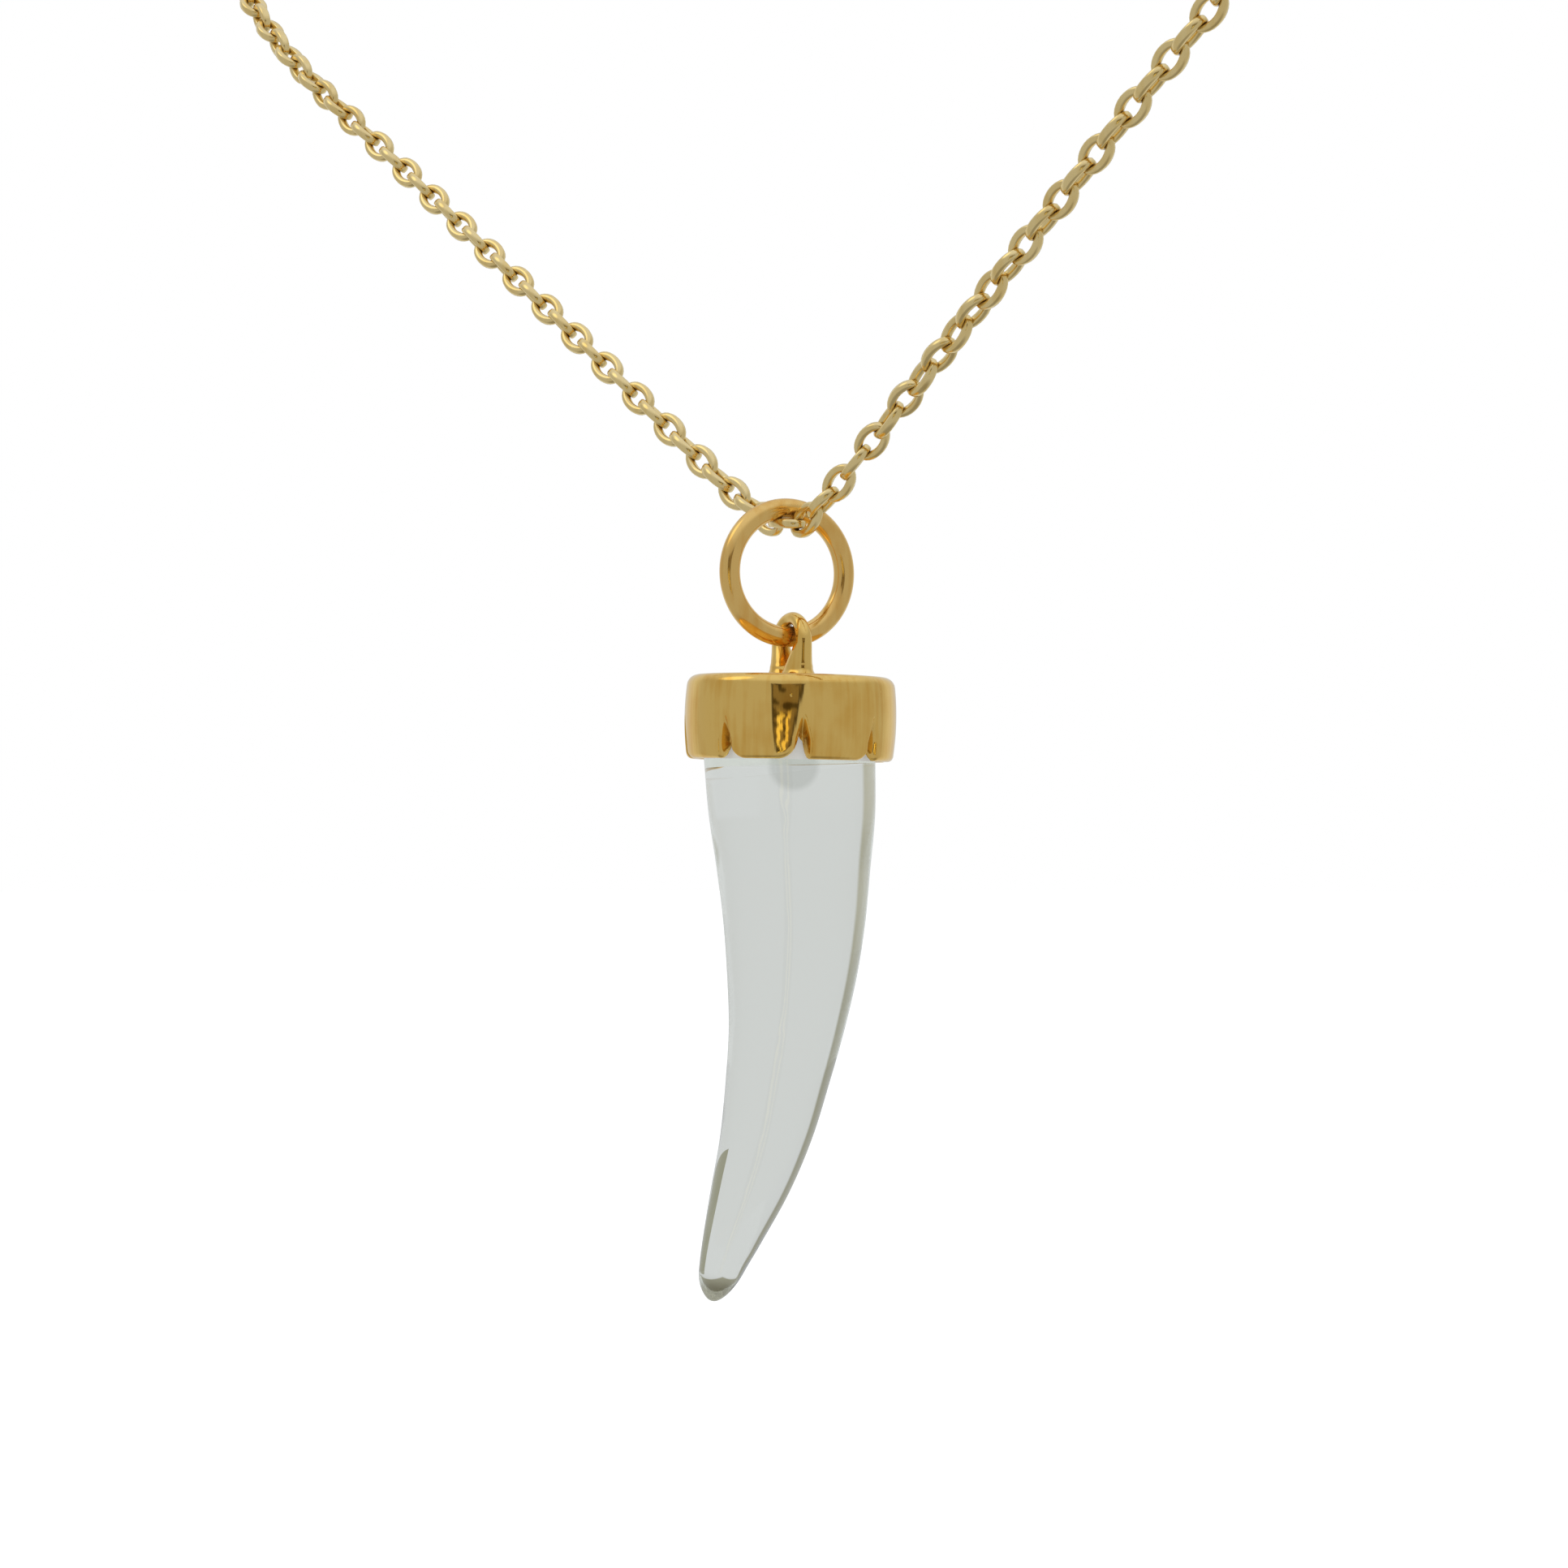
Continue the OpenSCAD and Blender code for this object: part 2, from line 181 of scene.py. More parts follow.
def platedGold(name, tint, deep, roughness, streaks, pits, hollowReach):
    # Gold plating over a cast or drawn base: a bright mirror with cloudy tone, faint lines, a few pits and
    # painted shade in its hollows.
    material, tree = newMaterial(name)
    place = addNode(tree, "ShaderNodeTexCoord").outputs["Object"]
    mottle = addNode(
        tree, "ShaderNodeTexNoise",
        {"Scale": 1 / (goldSet["mottleWidth"] * mm), "Detail": 3.0, "Roughness": 0.55}, {"Vector": place})
    stretched = addNode(
        tree, "ShaderNodeMapping", {"Scale": (1.0, 1.0, goldSet["streakSquash"])}, {"Vector": place})
    streak = addNode(
        tree, "ShaderNodeTexNoise", {"Scale": 1 / (goldSet["streakWidth"] * mm), "Detail": 2.0},
        {"Vector": stretched.outputs["Vector"]})
    lined = addNode(
        tree, "ShaderNodeMix", {"Factor": goldSet["streakShare"]},
        {2: mottle.outputs["Fac"], 3: streak.outputs["Fac"]})
    tone = addNode(tree, "ShaderNodeValToRGB", links={"Fac": lined.outputs[0]})
    for stop, position, code in zip(
            tone.color_ramp.elements, (goldSet["deepAt"], goldSet["tintAt"]), (deep, tint)):
        stop.position = position
        stop.color = hexToLinear(code)
    spots = addNode(
        tree, "ShaderNodeTexVoronoi", {"Scale": 1 / (goldSet["pitWidth"] * mm), "Randomness": 1.0},
        {"Vector": place})
    pitHeight = addNode(
        tree, "ShaderNodeMapRange", {"interpolation_type": "SMOOTHSTEP", 2: goldSet["pitShare"]},
        {0: spots.outputs["Distance"]})
    streakBump = addNode(
        tree, "ShaderNodeBump", {"Strength": streaks, "Distance": goldSet["streakDepth"] * mm},
        {"Height": streak.outputs["Fac"]})
    pitBump = addNode(
        tree, "ShaderNodeBump", {"Strength": pits, "Distance": goldSet["pitDepth"] * mm},
        {"Height": pitHeight.outputs[0], "Normal": streakBump.outputs["Normal"]})
    smoothest, roughest = (roughness * share for share in goldSet["shineSpread"])
    shine = addNode(
        tree, "ShaderNodeMapRange",
        {1: goldSet["shineFrom"], 2: goldSet["shineTo"], 3: smoothest, 4: roughest},
        {0: streak.outputs["Fac"]})
    # Painted shade: near other surfaces the colour turns brown and less metallic, darkening hollows and the
    # gaps between parts.
    closeness = addNode(tree, "ShaderNodeAmbientOcclusion", {"samples": 8, "Distance": hollowReach * mm})
    clear = addNode(
        tree, "ShaderNodeMapRange", {1: goldSet["hollowFrom"], 2: goldSet["hollowTo"]},
        {0: closeness.outputs["AO"]})
    colour = addNode(
        tree, "ShaderNodeMix", {"data_type": "RGBA", 6: hexToLinear(goldSet["hollowShade"])},
        {0: clear.outputs[0], 7: tone.outputs["Color"]})
    bare = addNode(tree, "ShaderNodeMapRange", {3: goldSet["hollowMetal"]}, {0: clear.outputs[0]})
    shader = addNode(
        tree, "ShaderNodeBsdfPrincipled", {},
        {"Base Color": colour.outputs[2], "Metallic": bare.outputs[0], "Roughness": shine.outputs[0],
         "Normal": pitBump.outputs["Normal"]})
    addNode(tree, "ShaderNodeOutputMaterial", links={"Surface": shader.outputs[0]})
    return material


crystalSet = {
    "tint": "f4f6f3",       # the faint grey green of clear rock crystal
    "ground": "dfe2e0",     # the root's ground faces, whitened by the cement that holds them
    "glow": 0.4,            # painted light: emission that makes the root's faces glow, in place of light that reaches them through the crystal
    "ior": 1.544,
    "roughness": 0.02, "groundRoughness": 0.7,
    "waveWidth": 3.0,       # mm between the slow waves that hand polishing leaves
    "waveDepth": 0.03, "waveStrength": 0.1,         # mm, and how much of it shows
    "grainWidth": 0.15,     # mm between the grains of the ground faces
    "grainDepth": 0.02, "grainStrength": 0.3,       # mm, and how much of it shows
    "notchReflection": "cbcec9",      # painted reflection: the grey of the cap's front notch, put into the crystal's colour below it
    "notchReflectionPlace": (3.35, -1.5, -0.25),  # mm from the middle of the mouth
    "notchReflectionReach": 1.25, "notchReflectionCore": 0.7,       # its radius in mm, and the share of it that is full grey
    "tip": "918c76",        # painted shade: the dull brown grey that darkens the colour of the very tip
    "tipFull": 0.5, "tipEnd": 1.2,      # mm above the end at which it is full, and at which it is gone
}


def rockCrystal(name, values, mouth, end):
    # Clear quartz, carved and polished by hand: it bends what is behind it and darkens at its edges. Its
    # colour holds a painted reflection below the front notch and painted shade at the tip.
    material, tree = newMaterial(name)
    place = addNode(tree, "ShaderNodeTexCoord").outputs["Object"]
    wave = addNode(
        tree, "ShaderNodeTexNoise", {"Scale": 1 / (values["waveWidth"] * mm), "Detail": 1.0},
        {"Vector": place})
    # Painted reflection: a grey spot below the front notch, mixed into the crystal's tint.
    notchReflectionMiddle = mouth @ Vector(values["notchReflectionPlace"]) * mm
    away = addNode(
        tree, "ShaderNodeVectorMath", {"operation": "DISTANCE", 1: notchReflectionMiddle}, {0: place})
    reach = values["notchReflectionReach"] * mm
    clear = addNode(
        tree, "ShaderNodeMapRange",
        {"interpolation_type": "SMOOTHSTEP", 1: reach * values["notchReflectionCore"], 2: reach},
        {0: away.outputs["Value"]})
    tint = addNode(
        tree, "ShaderNodeMix",
        {"data_type": "RGBA", 6: hexToLinear(values["notchReflection"]), 7: hexToLinear(values["tint"])},
        {0: clear.outputs[0]})
    height = addNode(tree, "ShaderNodeSeparateXYZ", {}, {0: place})
    # Painted shade: the colour turns dull brown grey towards the tip's end.
    dull, bright = (end.z + values[name] * mm for name in ("tipFull", "tipEnd"))
    pastTipShade = addNode(
        tree, "ShaderNodeMapRange", {"interpolation_type": "SMOOTHSTEP", 1: dull, 2: bright},
        {0: height.outputs["Z"]})
    whole = addNode(
        tree, "ShaderNodeMix", {"data_type": "RGBA", 6: hexToLinear(values["tip"])},
        {0: pastTipShade.outputs[0], 7: tint.outputs[2]})
    bump = addNode(
        tree, "ShaderNodeBump", {"Strength": values["waveStrength"], "Distance": values["waveDepth"] * mm},
        {"Height": wave.outputs["Fac"]})
    shader = addNode(
        tree, "ShaderNodeBsdfPrincipled",
        {"Roughness": values["roughness"], "IOR": values["ior"], "Transmission Weight": 1.0},
        {"Base Color": whole.outputs[2], "Normal": bump.outputs["Normal"]})
    addNode(tree, "ShaderNodeOutputMaterial", links={"Surface": shader.outputs[0]})
    return material


def groundCrystal(name, values):
    # Quartz left matt from the wheel, under white cement: a dull pale grey with a fine grain, and a faint
    # painted glow.
    material, tree = newMaterial(name)
    grain = addNode(
        tree, "ShaderNodeTexNoise", {"Scale": 1 / (values["grainWidth"] * mm), "Detail": 2.0},
        {"Vector": addNode(tree, "ShaderNodeTexCoord").outputs["Object"]})
    bump = addNode(
        tree, "ShaderNodeBump",
        {"Strength": values["grainStrength"], "Distance": values["grainDepth"] * mm},
        {"Height": grain.outputs["Fac"]})
    # Painted light: the emission makes the root's faces glow though they are no lamp.
    shader = addNode(
        tree, "ShaderNodeBsdfPrincipled",
        {"Base Color": hexToLinear(values["ground"]), "Roughness": values["groundRoughness"],
         "IOR": values["ior"], "Emission Color": hexToLinear(values["ground"]),
         "Emission Strength": values["glow"]},
        {"Normal": bump.outputs["Normal"]})
    addNode(tree, "ShaderNodeOutputMaterial", links={"Surface": shader.outputs[0]})
    return material


capGold = platedGold(
    "platedGoldCast", tint="f6cf76", deep="e9b859", roughness=0.07, streaks=1.0, pits=0.4, hollowReach=0.9)
ringGold = platedGold(
    "platedGoldDrawn", tint="f6cd7c", deep="ebb862", roughness=0.15, streaks=0.25, pits=0.0,
    hollowReach=0.7)
chainGold = platedGold(
    "platedGoldWire", tint="fae2a3", deep="f2d48c", roughness=0.16, streaks=0.3, pits=0.0,
    hollowReach=0.35)
groundRoot = groundCrystal("groundRockCrystal", crystalSet)


print("stage: chain")
chainSet = {
    "pitch": 1.33, "wire": 0.36, "play": 0.12,      # the solid links', which keep loose round each other
    "frontLinks": 45, "claspLength": 7.0, "cupDepth": 1.2, "cupGap": 0.2,
    "linkLength": 1.70, "linkWidth": 0.97,          # the drawn links, along the middle of their wire
    "wireWidth": 0.37, "wireDepth": 0.43,           # their wire, in the link's plane and across it
    "ovalPower": 1.03, "wirePower": 0.7,            # 1 is a true ellipse, less is squarer
    "lift": 0.38, "liftAside": -0.7, "liftReach": 4.0,      # rise of the lowest links to the ring on them
    "rightCant": 7,                                 # degrees that every second link of the right arm leans
    "endWear": 0.14,                                # how much thinner the wire is at a link's ends
    "frontSides": 12, "frontSteps": 28, "backSides": 6, "backSteps": 10,
}
linkSpan = chainSet["pitch"] + chainSet["wire"] + chainSet["play"]
linkStraight = linkSpan - 2 * (chainSet["wire"] + chainSet["play"])

# The loop from the nape down the left arm and back up the right, as the tube's route has it.
# Columns: x, y, z in mm from the lowest link, and the roll of the links in degrees.
chainRoute = [
    (0, 100, 112, 0),
    (-24, 95, 109.5, 0),
    (-48, 78, 100, 0),
    (-63, 51, 81, 0),
    (-64, 24, 58, 0),
    (-54, 7, 40, 0),
    (-39, 0.7, 27, -15),
    (-26, 0.3, 17.7, 30),
    (-13, 0, 8.7, 30),
    (-linkSpan / 2, 0, 0, 0),
    (linkSpan / 2, 0, 0, 0),
    (6.2, -0.1, 4.26, -52),
    (12.5, -0.3, 9.3, -94),
    (25, -1.2, 18.8, -114),
    (39, -1.6, 29.5, -110),
    (54, 5, 41, -80),
    (64, 23, 58, -40),
    (63, 50, 80.5, -10),
    (48, 78, 100, 0),
    (24, 95, 109.5, 0),
]
leftCorner, rightCorner, curveSteps = 9, 10, 24


def routeRow(i):
    return Vector(chainRoute[i % len(chainRoute)])


def chord(i):
    return (routeRow(i + 1) - routeRow(i)).xyz.length


def rowSlope(i):
    before, after = chord(i - 1), chord(i)
    slopeBefore = (routeRow(i) - routeRow(i - 1)) / before
    slopeAfter = (routeRow(i + 1) - routeRow(i)) / after
    return (slopeBefore * after + slopeAfter * before) / (before + after)


def endSlope(row, i):
    # The arms start straight from the level link's two corners.
    if row in (leftCorner, rightCorner):
        return (routeRow(i + 1) - routeRow(i)) / chord(i)
    return rowSlope(row)


def cubic(p, q, m, n, h, t):
    # A smooth curve from p to q over a length h, with slopes m and n at its ends.
    return ((2 * t**3 - 3 * t**2 + 1) * p + (t**3 - 2 * t**2 + t) * h * m
            + (3 * t**2 - 2 * t**3) * q + (t**3 - t**2) * h * n)


runRows = [
    cubic(routeRow(i), routeRow(i + 1), endSlope(i, i), endSlope(i + 1, i), chord(i), j / curveSteps)
    for i in range(len(chainRoute)) for j in range(curveSteps)
] + [routeRow(0)]
runLengths = [0.0]
for here, after in zip(runRows, runRows[1:]):
    runLengths.append(runLengths[-1] + (after - here).xyz.length)
lowestRun = (runLengths[leftCorner * curveSteps] + runLengths[rightCorner * curveSteps]) / 2
claspStop = chainSet["claspLength"] / 2 - chainSet["cupDepth"] + chainSet["cupGap"]


def runAt(s):
    # Place and roll at distance s along the loop.
    i = max(k for k, length in enumerate(runLengths[:-1]) if length <= max(s, 0))
    share = (s - runLengths[i]) / (runLengths[i + 1] - runLengths[i])
    row = runRows[i].lerp(runRows[i + 1], min(max(share, 0), 1))
    near = 1 - abs(s - lowestRun - chainSet["liftAside"]) / chainSet["liftReach"]
    row.z += chainSet["lift"] * smoothStep(near)
    return row


def armLength(side):
    return (lowestRun if side < 0 else runLengths[-1] - lowestRun) - claspStop


def linkFrame(side, k):
    # Place and turn of the link that is k links up one arm. Every second one is turned by a quarter.
    count = round(armLength(side) / chainSet["pitch"])
    s = lowestRun + side * k * armLength(side) / count
    row = runAt(s)
    along = (runAt(s + linkStraight / 2).xyz - runAt(s - linkStraight / 2).xyz).normalized()
    level = Vector((0, 1, 0))
    across = (level - along.y * along).normalized()
    cant = chainSet["rightCant"] if side > 0 else 0
    roll = math.radians(row.w + (90 if k % 2 == 0 else cant))
    width = math.cos(roll) * along.cross(across) + math.sin(roll) * across
    turn = Matrix((along, width, along.cross(width))).transposed()
    return (dropPoint + row.xyz) * mm, turn.to_euler()


def roundedOval(tree, steps, width, height, power):
    # A closed curve between an ellipse and a rectangle, worked out from a circle.
    circle = addNode(
        tree, "GeometryNodeCurvePrimitiveCircle", {"mode": "RADIUS", "Radius": 1.0}, {"Resolution": steps})
    place = addNode(tree, "GeometryNodeInputPosition").outputs[0]
    powers = addNode(tree, "ShaderNodeCombineXYZ", {2: 1.0}, {0: power, 1: power}).outputs[0]
    size = addNode(tree, "ShaderNodeVectorMath", {"operation": "ABSOLUTE"}, {0: place}).outputs[0]
    bent = addNode(tree, "ShaderNodeVectorMath", {"operation": "POWER"}, {0: size, 1: powers}).outputs[0]
    side = addNode(tree, "ShaderNodeVectorMath", {"operation": "SIGN"}, {0: place}).outputs[0]
    signed = addNode(tree, "ShaderNodeVectorMath", {"operation": "MULTIPLY"}, {0: bent, 1: side})
    full = addNode(tree, "ShaderNodeCombineXYZ", {}, {0: width, 1: height}).outputs[0]
    half = addNode(tree, "ShaderNodeVectorMath", {"operation": "SCALE", "Scale": 0.5}, {0: full})
    sized = addNode(
        tree, "ShaderNodeVectorMath", {"operation": "MULTIPLY"}, {0: signed.outputs[0], 1: half.outputs[0]})
    placed = addNode(
        tree, "GeometryNodeSetPosition", {}, {"Geometry": circle.outputs[0], "Position": sized.outputs[0]})
    return placed.outputs[0]


def linkTree():
    # Sets an oval link of nearly square wire on every point of the run.
    tree = bpy.data.node_groups.new("cableChain", "GeometryNodeTree")
    sockets = {}
    for kind, names in (
            ("Geometry", ("Geometry",)),
            ("Float", ("Link Length", "Link Width", "Wire Width", "Wire Depth")),
            ("Float", ("Oval Power", "Wire Power", "End Wear")),
            ("Int", ("Wire Sides", "Link Steps")),
            ("Material", ("Material",))):
        for name in names:
            sockets[name] = tree.interface.new_socket(
                name, in_out="INPUT", socket_type="NodeSocket" + kind).identifier
    tree.interface.new_socket("Geometry", in_out="OUTPUT", socket_type="NodeSocketGeometry")
    given = addNode(tree, "NodeGroupInput").outputs
    oval = roundedOval(
        tree, given["Link Steps"], given["Link Length"], given["Link Width"], given["Oval Power"])
    section = roundedOval(
        tree, given["Wire Sides"], given["Wire Width"], given["Wire Depth"], given["Wire Power"])
    upright = addNode(tree, "GeometryNodeSetCurveNormal", {"mode": "Z_UP"}, {"Curve": oval})
    place = addNode(tree, "GeometryNodeInputPosition").outputs[0]
    along = addNode(tree, "ShaderNodeSeparateXYZ", {}, {0: place}).outputs[0]
    # The wire is worn thinner towards the link's two ends, where it rubs on the next.
    share = addNode(tree, "ShaderNodeMath", {"operation": "DIVIDE"}, {0: along, 1: given["Link Length"]})
    twice = addNode(tree, "ShaderNodeMath", {"operation": "MULTIPLY", 1: 2.0}, {0: share.outputs[0]})
    ends = addNode(tree, "ShaderNodeMath", {"operation": "POWER", 1: 4.0}, {0: twice.outputs[0]})
    worn = addNode(
        tree, "ShaderNodeMath", {"operation": "MULTIPLY"}, {0: ends.outputs[0], 1: given["End Wear"]})
    thickness = addNode(tree, "ShaderNodeMath", {"operation": "SUBTRACT", 0: 1.0}, {1: worn.outputs[0]})
    wire = addNode(
        tree, "GeometryNodeCurveToMesh", {},
        {"Curve": upright.outputs[0], "Profile Curve": section, "Scale": thickness.outputs[0]})
    turn = addNode(
        tree, "GeometryNodeInputNamedAttribute", {"data_type": "FLOAT_VECTOR", "Name": "linkTurn"})
    rotation = addNode(tree, "FunctionNodeEulerToRotation", {}, {0: turn.outputs["Attribute"]})
    placed = addNode(
        tree, "GeometryNodeInstanceOnPoints", {},
        {"Points": given["Geometry"], "Instance": wire.outputs[0], "Rotation": rotation.outputs[0]})
    real = addNode(tree, "GeometryNodeRealizeInstances", {}, {0: placed.outputs[0]})
    smooth = addNode(tree, "GeometryNodeSetShadeSmooth", {}, {"Geometry": real.outputs[0]})
    dressed = addNode(
        tree, "GeometryNodeSetMaterial", {}, {"Geometry": smooth.outputs[0], "Material": given["Material"]})
    addNode(tree, "NodeGroupOutput", {}, {0: dressed.outputs[0]})
    return tree, sockets


def linkRun(name, frames, sides, steps, tree, sockets):
    mesh = bpy.data.meshes.new(name)
    mesh.from_pydata([tuple(place) for place, turn in frames], [], [])
    turns = mesh.attributes.new("linkTurn", "FLOAT_VECTOR", "POINT")
    for item, (place, turn) in zip(turns.data, frames):
        item.vector = tuple(turn)
    piece = bpy.data.objects.new(name, mesh)
    bpy.context.collection.objects.link(piece)
    modifier = piece.modifiers.new("links", "NODES")
    modifier.node_group = tree
    values = {
        "Link Length": chainSet["linkLength"] * mm, "Link Width": chainSet["linkWidth"] * mm,
        "Wire Width": chainSet["wireWidth"] * mm, "Wire Depth": chainSet["wireDepth"] * mm,
        "Oval Power": chainSet["ovalPower"], "Wire Power": chainSet["wirePower"],
        "End Wear": chainSet["endWear"], "Wire Sides": sides, "Link Steps": steps,
        "Material": chainGold,
    }
    for key, value in values.items():
        modifier[sockets[key]] = value
    return appliedModifiers(piece)


chainTree, chainSockets = linkTree()
frontFrames = [linkFrame(1, 0)] + [
    linkFrame(side, k) for side in (-1, 1) for k in range(1, chainSet["frontLinks"] + 1)]
backFrames = [
    linkFrame(side, k) for side in (-1, 1)
    for k in range(chainSet["frontLinks"] + 1, round(armLength(side) / chainSet["pitch"]))]
frontChain = linkRun(
    "frontLinks", frontFrames, chainSet["frontSides"], chainSet["frontSteps"], chainTree, chainSockets)
backChain = linkRun(
    "backLinks", backFrames, chainSet["backSides"], chainSet["backSteps"], chainTree, chainSockets)
for piece, node in ((frontChain, "chain_front"), (backChain, "chain_back")):
    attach(piece, "root")
    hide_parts(node)


print("stage: horn")
hornSet = {
    "length": 23.5, "width": 7.5, "root": 2.8, "bend": 3.1, "nose": 1.26, "rootChamfer": 0.3,
    "sides": 128, "steps": 150, "noseSteps": 18,
    "noseFlat": 0.4,        # share of a step left flat at the very end
}
# Columns: share of the length, sideways shift as a share of the bend, share of the width.
hornSections = [
    (0.00, 0.00, 1.000), (0.10, 0.05, 0.972), (0.20, 0.09, 0.898), (0.30, 0.12, 0.830),
    (0.40, 0.10, 0.758), (0.50, 0.03, 0.675), (0.60, -0.10, 0.604), (0.70, -0.26, 0.537),
    (0.80, -0.50, 0.458), (0.90, -0.79, 0.332), (0.95, -0.93, 0.257), (1.00, -1.03, 0.192),
]
capSet = {
    "rootGap": 0.08, "wall": 0.8, "plate": 0.8, "round": 0.5, "taper": 0.14, "rim": 0.27,
    "petals": 8, "turn": 25.0,
    "notch": 0.8, "notchGap": 0.2,                  # height of a notch and half its width at the top
    "grooveHeight": 1.9, "grooveDepth": 0.62, "grooveWidth": 0.42,
    "grooveTop": 0.25,                              # the groove's width at its top, as a share
    "lipFlare": 0.3, "lipHeight": 0.7,              # how far the petals thin inwards at their lip
    "rimShare": 0.4, "lipShare": 0.5,               # most of the wall that the rim and the lip may take
    "sideSteps": 30, "rimSteps": 8, "roundSteps": 10, "topSteps": 6, "lipSteps": 4,
    "hubShare": 0.1,                                # radius of the flat middle, as a share of the plate's
}
capSet["bore"] = hornSet["width"] / 2 + capSet["rootGap"]
# Radius in mm of the petal corners on the left and right of each notch, from the one that faces +X on.
notchCorners = [
    (0.7, 0.35), (0.5, 0.6), (0.6, 0.4), (0.5, 0.5), (0.4, 0.6), (0.55, 0.5), (0.3, 0.75), (0.95, 0.2)]
capHeight = capSet["plate"] + capSet["rootGap"] + hornSet["root"]
capMouth = capTop - capHeight
capRadius = capSet["bore"] + capSet["wall"]


def onRing():
    # The frame of the drop: X along the jump ring's axis, Y along its wire at the bottom.
    return Matrix.Translation(dropPoint) @ Matrix.Rotation(math.radians(dropSet["turn"]), 4, "Z")


def onEye():
    # The cap and horn lean about the top of the eye.
    top = Matrix.Translation((0, dropSet["slide"], eyeTop))
    lean = Matrix.Rotation(math.radians(-dropSet["lean"]), 4, "X")
    return onRing() @ top @ lean @ Matrix.Translation((0, 0, -eyeTop))


def hornSection(share):
    i = max(k for k in range(len(hornSections) - 1) if hornSections[k][0] <= share)
    rows = [Vector(row) for row in hornSections]

    def slope(k):
        a, b = max(k - 1, 0), min(k + 1, len(rows) - 1)
        return (rows[b] - rows[a]) / (rows[b][0] - rows[a][0])

    h = rows[i + 1][0] - rows[i][0]
    return cubic(rows[i], rows[i + 1], slope(i), slope(i + 1), h, (share - rows[i][0]) / h)


def hornRings(values):
    noseShare = values["nose"] / values["length"]
    half = values["width"] / 2
    root, chamfer = values["root"], values["rootChamfer"]
    rings = [(root, 0, half - chamfer), (root - chamfer, 0, half)]
    stations = [((1 - noseShare) * k / values["steps"], 1.0) for k in range(values["steps"] + 1)]
    for k in range(1, values["noseSteps"] + 1):
        a = math.radians(90 * k / (values["noseSteps"] + values["noseFlat"]))
        stations.append((1 - noseShare * (1 - math.sin(a)), math.cos(a)))
    for share, shrink in stations:
        row = hornSection(share)
        rings.append((-share * values["length"], row[1] * values["bend"], row[2] * shrink * half))
    return rings


def makeHorn(values):
    bm = bmesh.new()
    place = onEye()
    rows = []
    for height, shift, radius in hornRings(values):
        ring = []
        for a in range(values["sides"]):
            angle = 2 * math.pi * a / values["sides"]
            point = Vector((radius * math.cos(angle), shift + radius * math.sin(angle), capMouth + height))
            ring.append(bm.verts.new((place @ point) * mm))
        rows.append(ring)
    gridFaces(bm, rows)
    bm.faces.new(rows[0])
    bm.faces.new(rows[-1])
    bmesh.ops.recalc_face_normals(bm, faces=bm.faces)
    root = set(rows[0] + rows[1])
    for face in bm.faces:
        if any(vert in root for vert in face.verts):
            face.material_index = 1
            face.smooth = False
    piece = meshPiece("crystalHorn", bm, crystal)
    piece.data.materials.append(groundRoot)
    return piece


hornMouth = onEye() @ Matrix.Translation((0, 0, capMouth))
hornEnd = (hornMouth @ Vector((0, hornSections[-1][1] * hornSet["bend"], -hornSet["length"]))) * mm
crystal = rockCrystal("polishedRockCrystal", crystalSet, hornMouth, hornEnd)
hornPiece = makeHorn(hornSet)
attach(hornPiece, "drop")
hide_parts("horn")


print("stage: cap and eye")
eyeSet = {
    "bend": 1.15, "topWire": 0.56,
    "innerFlare": 0.84, "innerHeight": 1.95, "webPower": 3,     # the web of solder between the legs
    "outerFlare": 0.2, "outerHeight": 0.45,         # the small fillet round the outside
    "collarHeight": 0.42, "collarWidth": 0.09, "collar": 0.025,     # the bead where the solder stopped
    "sides": 32, "archSteps": 44, "legSteps": 30, "sunk": 0.3,
}


def capSide(depth):
    return capRadius - capSet["taper"] * (2 * depth / capHeight - 1) ** 2


def notchLift(arc, corners):
    # Height of the rim's edge above the petals' lowest line, by the distance from the notch's middle.
    corner = corners[0] if arc < 0 else corners[1]
    beyond = abs(arc) - capSet["notchGap"]
    if beyond <= 0:
        return corner + (capSet["notch"] - corner) * smoothStep(-beyond / capSet["notchGap"])
    if beyond >= corner:
        return 0.0
    return corner * (1 - math.sqrt(1 - (1 - beyond / corner) ** 2))


def grooveCut(arc, depth):
    # Depth of the groove above a notch: a V that widens and deepens downwards.
    reach = (depth - capHeight + capSet["grooveHeight"]) / (capSet["grooveHeight"] - capSet["notch"])
    reach = min(max(reach, 0.0), 1.0)
    if not reach:
        return 0.0
    widening = capSet["grooveTop"] + (1 - capSet["grooveTop"]) * reach
    across = abs(arc) / (capSet["grooveWidth"] * widening)
    return capSet["grooveDepth"] * reach * smoothStep(1 - across)


def sideTilt(depth):
    # Lean of the side's outline from the upright at one depth, in radians.
    return math.atan(capSide(depth + 0.01) / 0.01 - capSide(depth) / 0.01)


